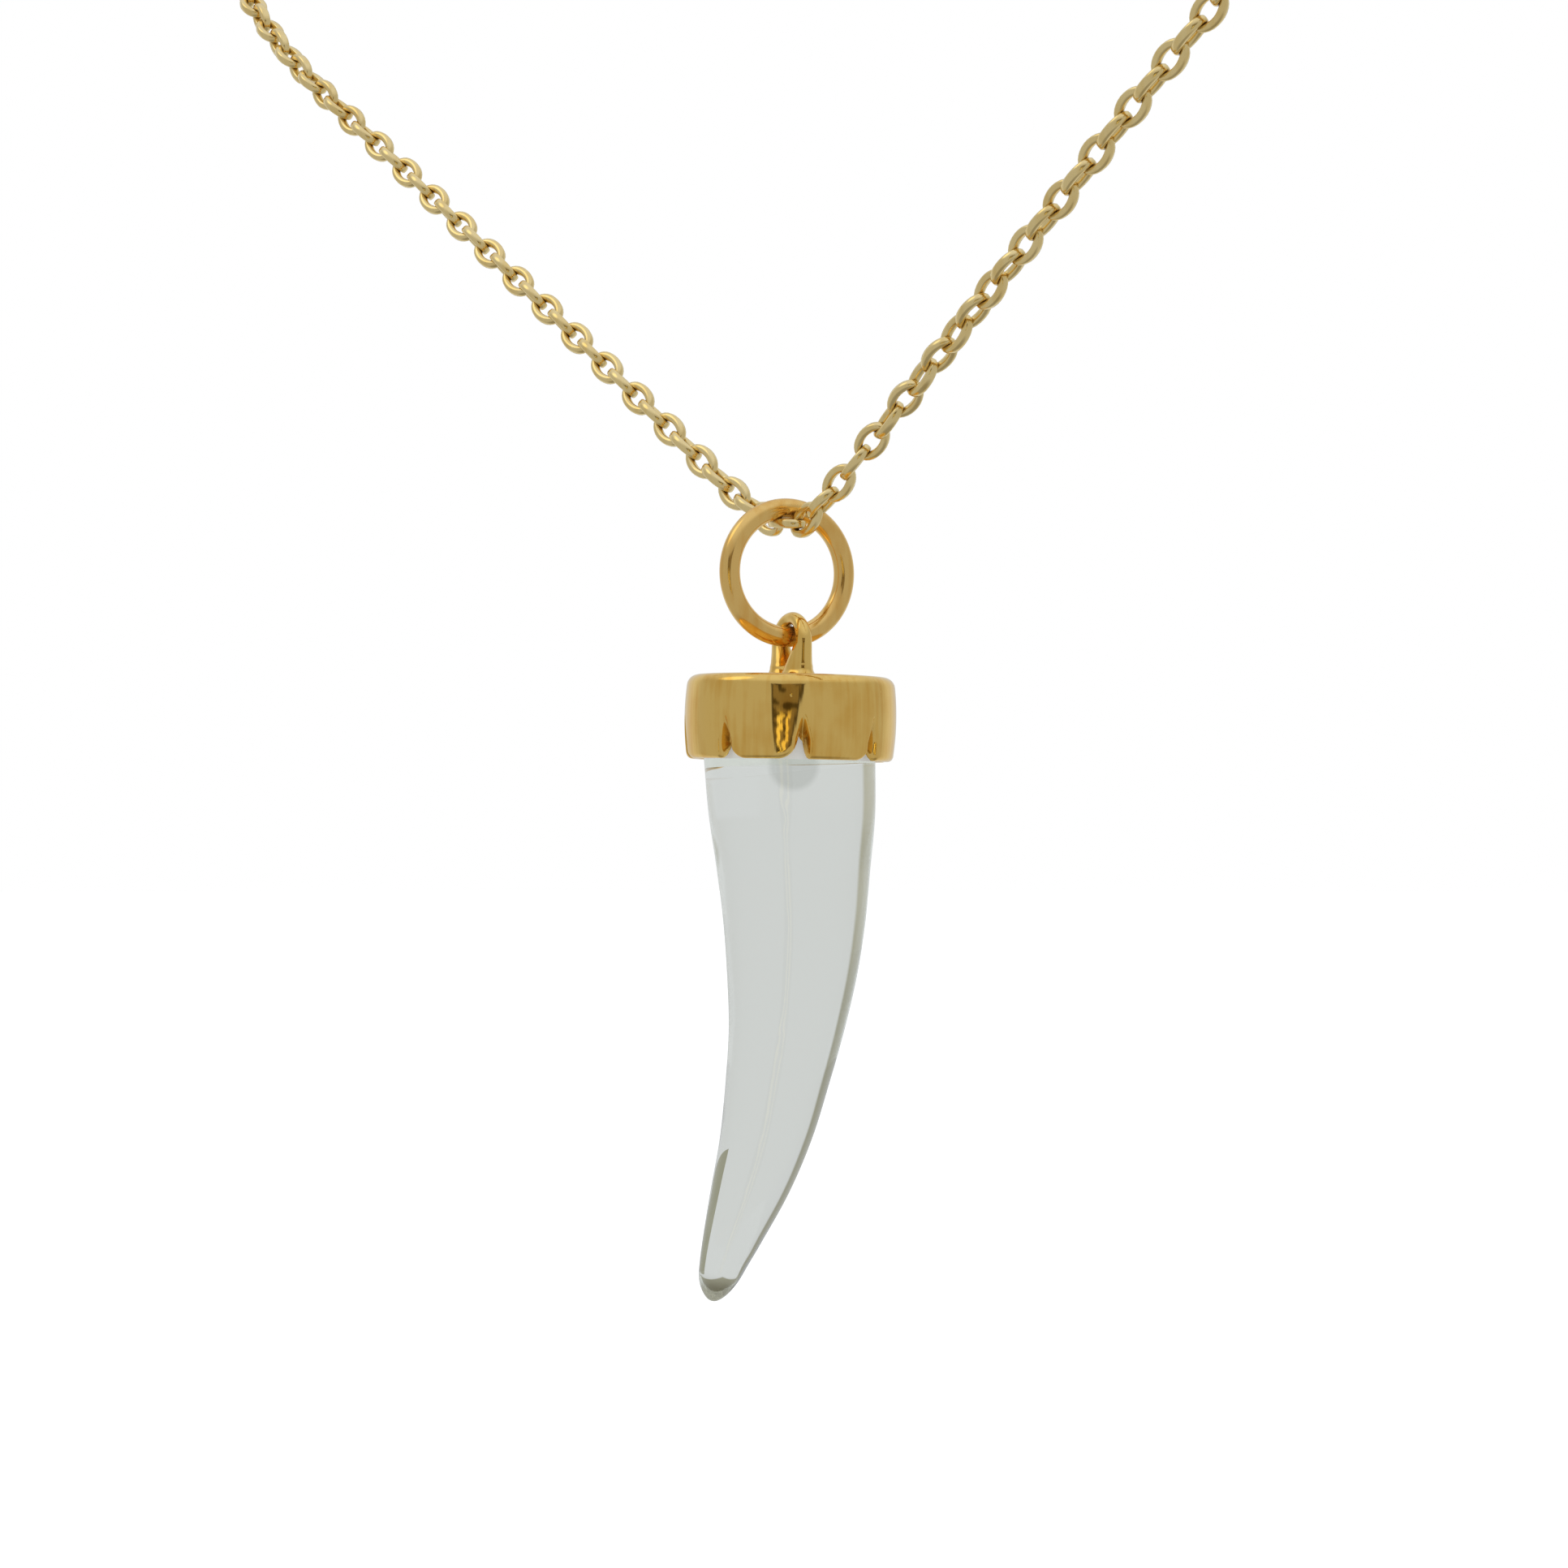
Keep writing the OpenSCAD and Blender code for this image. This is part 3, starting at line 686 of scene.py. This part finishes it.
def capColumn(arc, corners):
    # The outline of the cap at one angle: top plate, side, rim and bore, as radius and depth.
    bottom = capHeight - notchLift(arc, corners)
    rim, roundness = capSet["rim"], capSet["round"]
    turn = math.pi / 2 - sideTilt(roundness)
    start = roundness * (1 - math.cos(turn))
    edge = capSide(start) - roundness * math.sin(turn)
    hub, topSteps, lipSteps = capSet["hubShare"], capSet["topSteps"], capSet["lipSteps"]
    points = [(edge * (hub + (1 - hub) * k / topSteps), 0.0) for k in range(topSteps + 1)]
    for k in range(1, capSet["roundSteps"] + 1):
        a = turn * k / capSet["roundSteps"]
        points.append((edge + roundness * math.sin(a), roundness * (1 - math.cos(a))))
    lean = -sideTilt(bottom - rim)
    straight = bottom - rim * (1 - math.sin(lean))
    for k in range(1, capSet["sideSteps"] + 1):
        depth = start + (straight - start) * k / capSet["sideSteps"]
        points.append((capSide(depth) - grooveCut(arc, depth), depth))
    outer = points[-1][0]
    room = min(rim, (outer - capSet["bore"]) * capSet["rimShare"])
    for k in range(1, capSet["rimSteps"] + 1):
        a = lean + (math.pi / 2 - lean) * k / capSet["rimSteps"]
        points.append((
            outer - room * (math.cos(lean) - math.cos(a)),
            straight + rim * (math.sin(a) - math.sin(lean))))
    lip = min(capSet["lipFlare"], (outer - capSet["bore"]) * capSet["lipShare"])
    for k in range(lipSteps + 1):
        share = k / lipSteps
        points.append((capSet["bore"] + lip * (1 - share) ** 2, bottom - capSet["lipHeight"] * share))
    points.append((capSet["bore"], capSet["plate"]))
    points.append((edge * hub, capSet["plate"]))
    return points


def capAngles():
    # Angles round the cap, closer together beside the notches, each with its distance from the nearest.
    step = 360 / capSet["petals"]
    shares = [
        0, 0.006, 0.012, 0.018, 0.024, 0.03, 0.036, 0.044, 0.052, 0.06, 0.07, 0.08, 0.09, 0.1, 0.115,
        0.13, 0.15, 0.175, 0.2, 0.225, 0.25, 0.29, 0.33, 0.375, 0.43, 0.5]
    for k in range(capSet["petals"]):
        for share in [-s for s in shares[-2:0:-1]] + shares:
            arc = math.radians(step * share) * capRadius
            yield capSet["turn"] + step * (k + share), arc, notchCorners[k]


def makeCapShell():
    bm = bmesh.new()
    place = onEye()
    columns = []
    for degrees, arc, corners in capAngles():
        x, y = math.cos(math.radians(degrees)), math.sin(math.radians(degrees))
        columns.append([
            bm.verts.new((place @ Vector((r * x, r * y, capTop - depth))) * mm)
            for r, depth in capColumn(arc, corners)])
    rings = list(zip(*columns))
    gridFaces(bm, rings)
    bm.faces.new(rings[0])
    bm.faces.new(rings[-1])
    bmesh.ops.recalc_face_normals(bm, faces=bm.faces)
    return meshPiece("capShell", bm, capGold)


def eyePath():
    # Points of the eye's wire, from one solder foot over the arch to the other, each with its radius and
    # what the solder adds on the side towards the other leg.
    bend, wire = eyeSet["bend"], dropSet["eyeWire"]
    archMiddle = eyeTop - bend
    start = capTop - eyeSet["sunk"]
    leg = []
    for k in range(eyeSet["legSteps"]):
        height = start + (archMiddle - start) * k / eyeSet["legSteps"]
        above = max(height - capTop, 0)
        outer = eyeSet["outerFlare"] * max(1 - above / eyeSet["outerHeight"], 0) ** 2
        inner = eyeSet["innerFlare"] * (1 - smoothStep(above / eyeSet["innerHeight"]))
        bead = eyeSet["collar"] * math.exp(-((above - eyeSet["collarHeight"]) / eyeSet["collarWidth"]) ** 2)
        leg.append((Vector((bend, 0, height)), wire / 2 + outer + bead, inner))
    arch = []
    for k in range(eyeSet["archSteps"] + 1):
        a = math.pi * k / eyeSet["archSteps"]
        radius = (wire + (eyeSet["topWire"] - wire) * math.sin(a) ** 2) / 2
        reach = bend - wire / 2 + radius            # the inside of the bend stays round
        arch.append((Vector((reach * math.cos(a), 0, archMiddle + reach * math.sin(a))), radius, 0.0))
    other = [(Vector((-p.x, p.y, p.z)), radius, inner) for p, radius, inner in reversed(leg)]
    return leg + arch + other


def makeEye():
    bm = bmesh.new()
    place = onEye()
    path = eyePath()
    rows = []
    for i, (point, radius, inner) in enumerate(path):
        before, after = path[max(i - 1, 0)][0], path[min(i + 1, len(path) - 1)][0]
        along = (after - before).normalized()
        side = Vector((0, 1, 0))
        out = along.cross(side)
        row = []
        for a in range(eyeSet["sides"]):
            t = 2 * math.pi * a / eyeSet["sides"]
            reach = radius + inner * (0.5 + math.sin(t) / 2) ** eyeSet["webPower"]
            corner = point + reach * (math.cos(t) * side + math.sin(t) * out)
            row.append(bm.verts.new((place @ corner) * mm))
        rows.append(row)
    gridFaces(bm, rows)
    bm.faces.new(rows[0])
    bm.faces.new(rows[-1])
    bmesh.ops.recalc_face_normals(bm, faces=bm.faces)
    return meshPiece("eyeWire", bm, capGold)


def makeCap():
    # Shell and eye become one soldered body.
    shell, eye = makeCapShell(), makeEye()
    union = shell.modifiers.new("solder", "BOOLEAN")
    union.operation, union.solver, union.object = "UNION", "EXACT", eye
    union.use_self = True                           # the solder of the two legs runs together
    appliedModifiers(shell)
    bpy.data.objects.remove(eye)
    shell.name = "petalCap"
    shell.data.shade_smooth()
    return shell


capPiece = makeCap()
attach(capPiece, "drop")
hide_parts("cap")


print("stage: jump ring")
ringSet = {"aroundSteps": 160, "wireSteps": 32}


def makeJumpRing():
    bm = bmesh.new()
    place = onRing() @ Matrix.Translation((0, 0, (dropSet["ringTop"] + ringBottom) / 2))
    half = dropSet["ringWire"] / 2
    rows = []
    for i in range(ringSet["aroundSteps"]):
        a = 2 * math.pi * i / ringSet["aroundSteps"]
        out = Vector((0, math.cos(a), math.sin(a)))
        row = []
        for k in range(ringSet["wireSteps"]):
            t = 2 * math.pi * k / ringSet["wireSteps"]
            corner = out * (dropSet["ringBend"] + half * math.cos(t)) + Vector((half * math.sin(t), 0, 0))
            row.append(bm.verts.new((place @ corner) * mm))
        rows.append(row)
    gridFaces(bm, rows + rows[:1])
    bmesh.ops.recalc_face_normals(bm, faces=bm.faces)
    return meshPiece("jumpRingWire", bm, ringGold)


ringPiece = makeJumpRing()
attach(ringPiece, "ring")
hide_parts("jump_ring")

claspNode = bpy.data.objects["barrel_clasp"]
claspNode.data.materials.clear()
claspNode.data.materials.append(chainGold)


print("stage: floor and light")
stageSet = {
    "floorDrop": 60.0,      # mm from the horn's tip down to the floor
    "floorRadius": 3000.0,
    "floorColour": "f6f6f4",
    "floorSides": 96,
    "floorGlow": 0.5,
    "backColour": (1.0, 1.0, 1.0, 1.0),
    "tentColour": (0.5, 0.5, 0.5, 1.0),
}
# Soft patches of the light tent round the object. Columns: azimuth from the camera's side towards its
# right, elevation, half width and soft edge in degrees, and colour.
tentPatches = [
    ("overhead", 0, 90, 30, 40, (0.73, 0.75, 0.83, 1.0)),
    ("behind", 180, 0, 40, 25, (0.68, 0.69, 0.69, 1.0)),
    ("below", 0, -90, 12, 35, (0.3, 0.29, 0.27, 1.0)),
    ("upperLeft", -85, 48, 6, 14, (1.25, 1.2, 1.0, 1.0)),
]
# What shows through the crystal: a pale backdrop that ends beside the picture's left and overhead.
throughSet = {
    "backdrop": (0.70, 0.715, 0.715, 1.0), "beyond": (0.49, 0.475, 0.38, 1.0), "soft": 0.04,
    "beyondHigh": (0.31, 0.30, 0.215, 1.0), "highFrom": 0.06, "highTo": 0.28,    # its darker upper part
    "leftEnd": 0.65, "leftReach": 0.2,              # least share forward, for directions left of this share
    "topEnd": 0.235, "topLeft": 0.19, "topSlope": -0.6,     # least share upward, and its rise to the left
}
# A dull card beside the tip, seen through the crystal alone. Sizes in mm from the lowest link.
cardSet = {
    "right": 13.0, "back": 20.0, "front": -30.0, "top": -29.0, "height": 60.0,
    "colour": (0.32, 0.315, 0.225, 1.0),
}
# The opening that the camera looks through, as its dark reflection in the gold. Radians.
openingSet = {
    "middle": -0.12, "middleSlope": 0.17, "half": 0.227, "halfSlope": 0.42, "reach": 0.3,
    "strandAside": 0.38, "strandHalf": 0.2,         # two bright strands, as shares of the half width
    "strandCore": 0.6, "strandTop": 0.1,            # their fully bright share, and how high they reach
    "edge": 0.06, "rim": (0.72, 0.9),               # softness of its edge, and where its dark rim starts
    "brownPatches": (0.42, 0.5),                    # noise values between dark and brown
    "wander": 1.6, "wanderScale": 5.0, "squeeze": 3.0,
    "dark": (0.06, 0.045, 0.02, 1.0), "brown": (0.24, 0.19, 0.11, 1.0),
    "bright": (1.15, 0.95, 0.35, 1.0),
}


def roomDirection(azimuth, elevation):
    # A direction as seen from the object, 0 being towards the camera and 90 towards the picture's right.
    a, e = math.radians(azimuth), math.radians(elevation)
    flat = -viewForward * math.cos(a) + viewRight * math.sin(a)
    return flat * math.cos(e) + Vector((0, 0, math.sin(e)))


def edgeShare(tree, direction, towards, low, high):
    # Rises from 0 to 1 as a direction's share along an axis goes from low to high.
    along = addNode(
        tree, "ShaderNodeVectorMath", {"operation": "DOT_PRODUCT", 1: towards}, {0: direction})
    share = addNode(
        tree, "ShaderNodeMapRange", {"interpolation_type": "SMOOTHSTEP", 1: low, 2: high},
        {0: along.outputs["Value"]})
    return share.outputs[0]


def openingPlace(tree, direction):
    # Elevation of each direction, and how far it is aside of the opening's middle, in its half widths.
    axes = (roomDirection(0, 0), viewRight, (0, 0, 1))
    towards, right, elevation = [
        addNode(tree, "ShaderNodeVectorMath", {"operation": "DOT_PRODUCT", 1: axis}, {0: direction}
                ).outputs["Value"] for axis in axes]
    azimuth = addNode(tree, "ShaderNodeMath", {"operation": "ARCTAN2"}, {0: right, 1: towards})
    middle = addNode(
        tree, "ShaderNodeMath",
        {"operation": "MULTIPLY_ADD", 1: openingSet["middleSlope"], 2: openingSet["middle"]},
        {0: elevation})
    half = addNode(
        tree, "ShaderNodeMath",
        {"operation": "MULTIPLY_ADD", 1: openingSet["halfSlope"], 2: openingSet["half"]}, {0: elevation})
    away = addNode(
        tree, "ShaderNodeMath", {"operation": "SUBTRACT"}, {0: azimuth.outputs[0], 1: middle.outputs[0]})
    offset = addNode(
        tree, "ShaderNodeMath", {"operation": "DIVIDE"}, {0: away.outputs[0], 1: half.outputs[0]})
    return elevation, offset.outputs[0]


def cameraOpening(tree, direction):
    # The opening's share at each direction, and its colours.
    elevation, offset = openingPlace(tree, direction)
    aside = addNode(tree, "ShaderNodeMath", {"operation": "ABSOLUTE"}, {0: offset}).outputs[0]
    level = addNode(tree, "ShaderNodeMath", {"operation": "ABSOLUTE"}, {0: elevation})
    above = addNode(
        tree, "ShaderNodeMath", {"operation": "DIVIDE", 1: openingSet["reach"]}, {0: level.outputs[0]})
    outer, inner = 1 + openingSet["edge"], 1 - openingSet["edge"]
    within, under = [
        addNode(tree, "ShaderNodeMapRange", {"interpolation_type": "SMOOTHSTEP", 1: outer, 2: inner},
                {0: place}).outputs[0] for place in (aside, above.outputs[0])]
    inside = addNode(tree, "ShaderNodeMath", {"operation": "MULTIPLY"}, {0: within, 1: under})

    stretched = addNode(
        tree, "ShaderNodeMapping", {"Scale": (1.0, 1.0, openingSet["squeeze"])}, {"Vector": direction})
    shapes = addNode(
        tree, "ShaderNodeTexNoise", {"Scale": openingSet["wanderScale"], "Detail": 1.0},
        {"Vector": stretched.outputs[0]}).outputs["Fac"]
    drift = addNode(tree, "ShaderNodeMath", {"operation": "SUBTRACT", 1: 0.5}, {0: shapes})
    wandering = addNode(
        tree, "ShaderNodeMath", {"operation": "MULTIPLY_ADD", 1: openingSet["wander"]},
        {0: drift.outputs[0], 2: offset})
    mirrored = addNode(tree, "ShaderNodeMath", {"operation": "ABSOLUTE"}, {0: wandering.outputs[0]})
    fromStrand = addNode(
        tree, "ShaderNodeMath", {"operation": "SUBTRACT", 1: openingSet["strandAside"]},
        {0: mirrored.outputs[0]})
    strand = addNode(tree, "ShaderNodeMath", {"operation": "ABSOLUTE"}, {0: fromStrand.outputs[0]})
    half = openingSet["strandHalf"]
    brownLow, brownHigh = openingSet["brownPatches"]
    rimLow, rimHigh = openingSet["rim"]
    gleam, lower, patches, rim = [
        addNode(tree, "ShaderNodeMapRange", {"interpolation_type": "SMOOTHSTEP", 1: low, 2: high},
                {0: value}).outputs[0]
        for value, low, high in (
            (strand.outputs[0], half, half * openingSet["strandCore"]),
            (elevation, openingSet["strandTop"], 0.0),
            (shapes, brownLow, brownHigh),
            (aside, rimLow, rimHigh))]
    glint = addNode(tree, "ShaderNodeMath", {"operation": "MULTIPLY"}, {0: gleam, 1: lower})
    brown = addNode(
        tree, "ShaderNodeMix", {"data_type": "RGBA", 6: openingSet["dark"], 7: openingSet["brown"]},
        {0: patches})
    lit = addNode(
        tree, "ShaderNodeMix", {"data_type": "RGBA", 7: openingSet["bright"]},
        {0: glint.outputs[0], 6: brown.outputs[2]})
    colour = addNode(
        tree, "ShaderNodeMix", {"data_type": "RGBA", 7: openingSet["dark"]}, {0: rim, 6: lit.outputs[2]})
    return inside.outputs[0], colour.outputs[2]


def throughColour(tree, direction):
    # What the crystal shows of the backdrop and of the darker room beyond its two edges.
    soft = throughSet["soft"]
    forward, right, high = [
        edgeShare(tree, direction, axis, low, top) for axis, low, top in (
            (viewForward, throughSet["leftEnd"] + soft, throughSet["leftEnd"] - soft),
            (viewRight, throughSet["leftReach"] + soft, throughSet["leftReach"] - soft),
            ((0, 0, 1), throughSet["highFrom"], throughSet["highTo"]))]
    aside = addNode(tree, "ShaderNodeMath", {"operation": "MULTIPLY"}, {0: forward, 1: right})

    sideways, up = [
        addNode(tree, "ShaderNodeVectorMath", {"operation": "DOT_PRODUCT", 1: axis}, {0: direction}
                ).outputs["Value"] for axis in (viewRight, (0, 0, 1))]
    slope = addNode(
        tree, "ShaderNodeMath",
        {"operation": "MULTIPLY_ADD", 1: throughSet["topSlope"], 2: throughSet["topLeft"]}, {0: sideways})
    limit = addNode(
        tree, "ShaderNodeMath", {"operation": "MAXIMUM", 1: throughSet["topEnd"]}, {0: slope.outputs[0]})
    past = addNode(tree, "ShaderNodeMath", {"operation": "SUBTRACT"}, {0: up, 1: limit.outputs[0]})
    above = addNode(
        tree, "ShaderNodeMapRange", {"interpolation_type": "SMOOTHSTEP", 1: -soft / 2, 2: soft / 2},
        {0: past.outputs[0]})
    outside = addNode(
        tree, "ShaderNodeMath", {"operation": "MAXIMUM"}, {0: aside.outputs[0], 1: above.outputs[0]})
    beyond = addNode(
        tree, "ShaderNodeMix",
        {"data_type": "RGBA", 6: throughSet["beyond"], 7: throughSet["beyondHigh"]}, {0: high})
    return addNode(
        tree, "ShaderNodeMix", {"data_type": "RGBA", 6: throughSet["backdrop"]},
        {0: outside.outputs[0], 7: beyond.outputs[2]}).outputs[2]


def makeTent():
    world = bpy.data.worlds.new("lightTent")
    bpy.context.scene.world = world
    world.use_nodes = True
    tree = world.node_tree
    tree.nodes.clear()
    direction = addNode(tree, "ShaderNodeTexCoord").outputs["Generated"]
    path = addNode(tree, "ShaderNodeLightPath")
    plain = addNode(tree, "ShaderNodeRGB")
    plain.outputs[0].default_value = stageSet["tentColour"]
    colour = plain.outputs[0]
    for name, azimuth, elevation, half, edge, tint in tentPatches:
        share = edgeShare(
            tree, direction, roomDirection(azimuth, elevation), math.cos(math.radians(half + edge)),
            math.cos(math.radians(half)))
        patch = addNode(
            tree, "ShaderNodeMix", {"label": name, "data_type": "RGBA", 7: tint}, {0: share, 6: colour})
        colour = patch.outputs[2]
    opening, openingColour = cameraOpening(tree, direction)
    mirrored = addNode(
        tree, "ShaderNodeMix", {"data_type": "RGBA"}, {0: opening, 6: colour, 7: openingColour})
    through = addNode(
        tree, "ShaderNodeMix", {"data_type": "RGBA"},
        {0: path.outputs["Is Transmission Ray"], 6: mirrored.outputs[2], 7: throughColour(tree, direction)})
    behind = addNode(
        tree, "ShaderNodeMix", {"data_type": "RGBA", 7: stageSet["backColour"]},
        {0: path.outputs["Is Camera Ray"], 6: through.outputs[2]})
    background = addNode(
        tree, "ShaderNodeBackground", {"Strength": 1.0}, {"Color": behind.outputs[2]})
    addNode(tree, "ShaderNodeOutputWorld", links={"Surface": background.outputs[0]})


def makeFloor():
    # Only the camera sees the floor, so that the tent alone lights the metal and the crystal.
    material, tree = newMaterial("paleFloor")
    shader = addNode(tree, "ShaderNodeBsdfDiffuse", {"Color": hexToLinear(stageSet["floorColour"])})
    glow = addNode(
        tree, "ShaderNodeEmission",
        {"Color": stageSet["backColour"], "Strength": stageSet["floorGlow"]})
    both = addNode(tree, "ShaderNodeAddShader", {}, {0: shader.outputs[0], 1: glow.outputs[0]})
    addNode(tree, "ShaderNodeOutputMaterial", links={"Surface": both.outputs[0]})
    bm = bmesh.new()
    bmesh.ops.create_circle(
        bm, cap_ends=True, segments=stageSet["floorSides"], radius=stageSet["floorRadius"] * mm)
    floor = meshPiece("floor", bm, material, smooth=False)
    floor.location = (0, dropPoint.y * mm, cadLow.z - stageSet["floorDrop"] * mm)
    floor.visible_glossy = floor.visible_transmission = floor.visible_diffuse = False


def makeCard():
    material, tree = newMaterial("dullCard")
    shader = addNode(tree, "ShaderNodeEmission", {"Color": cardSet["colour"]})
    addNode(tree, "ShaderNodeOutputMaterial", links={"Surface": shader.outputs[0]})
    bm = bmesh.new()
    top, low = cardSet["top"], cardSet["top"] - cardSet["height"]
    corners = [
        dropPoint + viewRight * cardSet["right"] + viewForward * depth + Vector((0, 0, height))
        for depth, height in (
            (cardSet["front"], top), (cardSet["back"], top), (cardSet["back"], low),
            (cardSet["front"], low))]
    bm.faces.new([bm.verts.new(corner * mm) for corner in corners])
    card = meshPiece("dullCard", bm, material, smooth=False)
    card.visible_camera = card.visible_glossy = card.visible_diffuse = card.visible_shadow = False


makeTent()
makeFloor()
makeCard()
bpy.context.scene.view_settings.view_transform = "Standard"
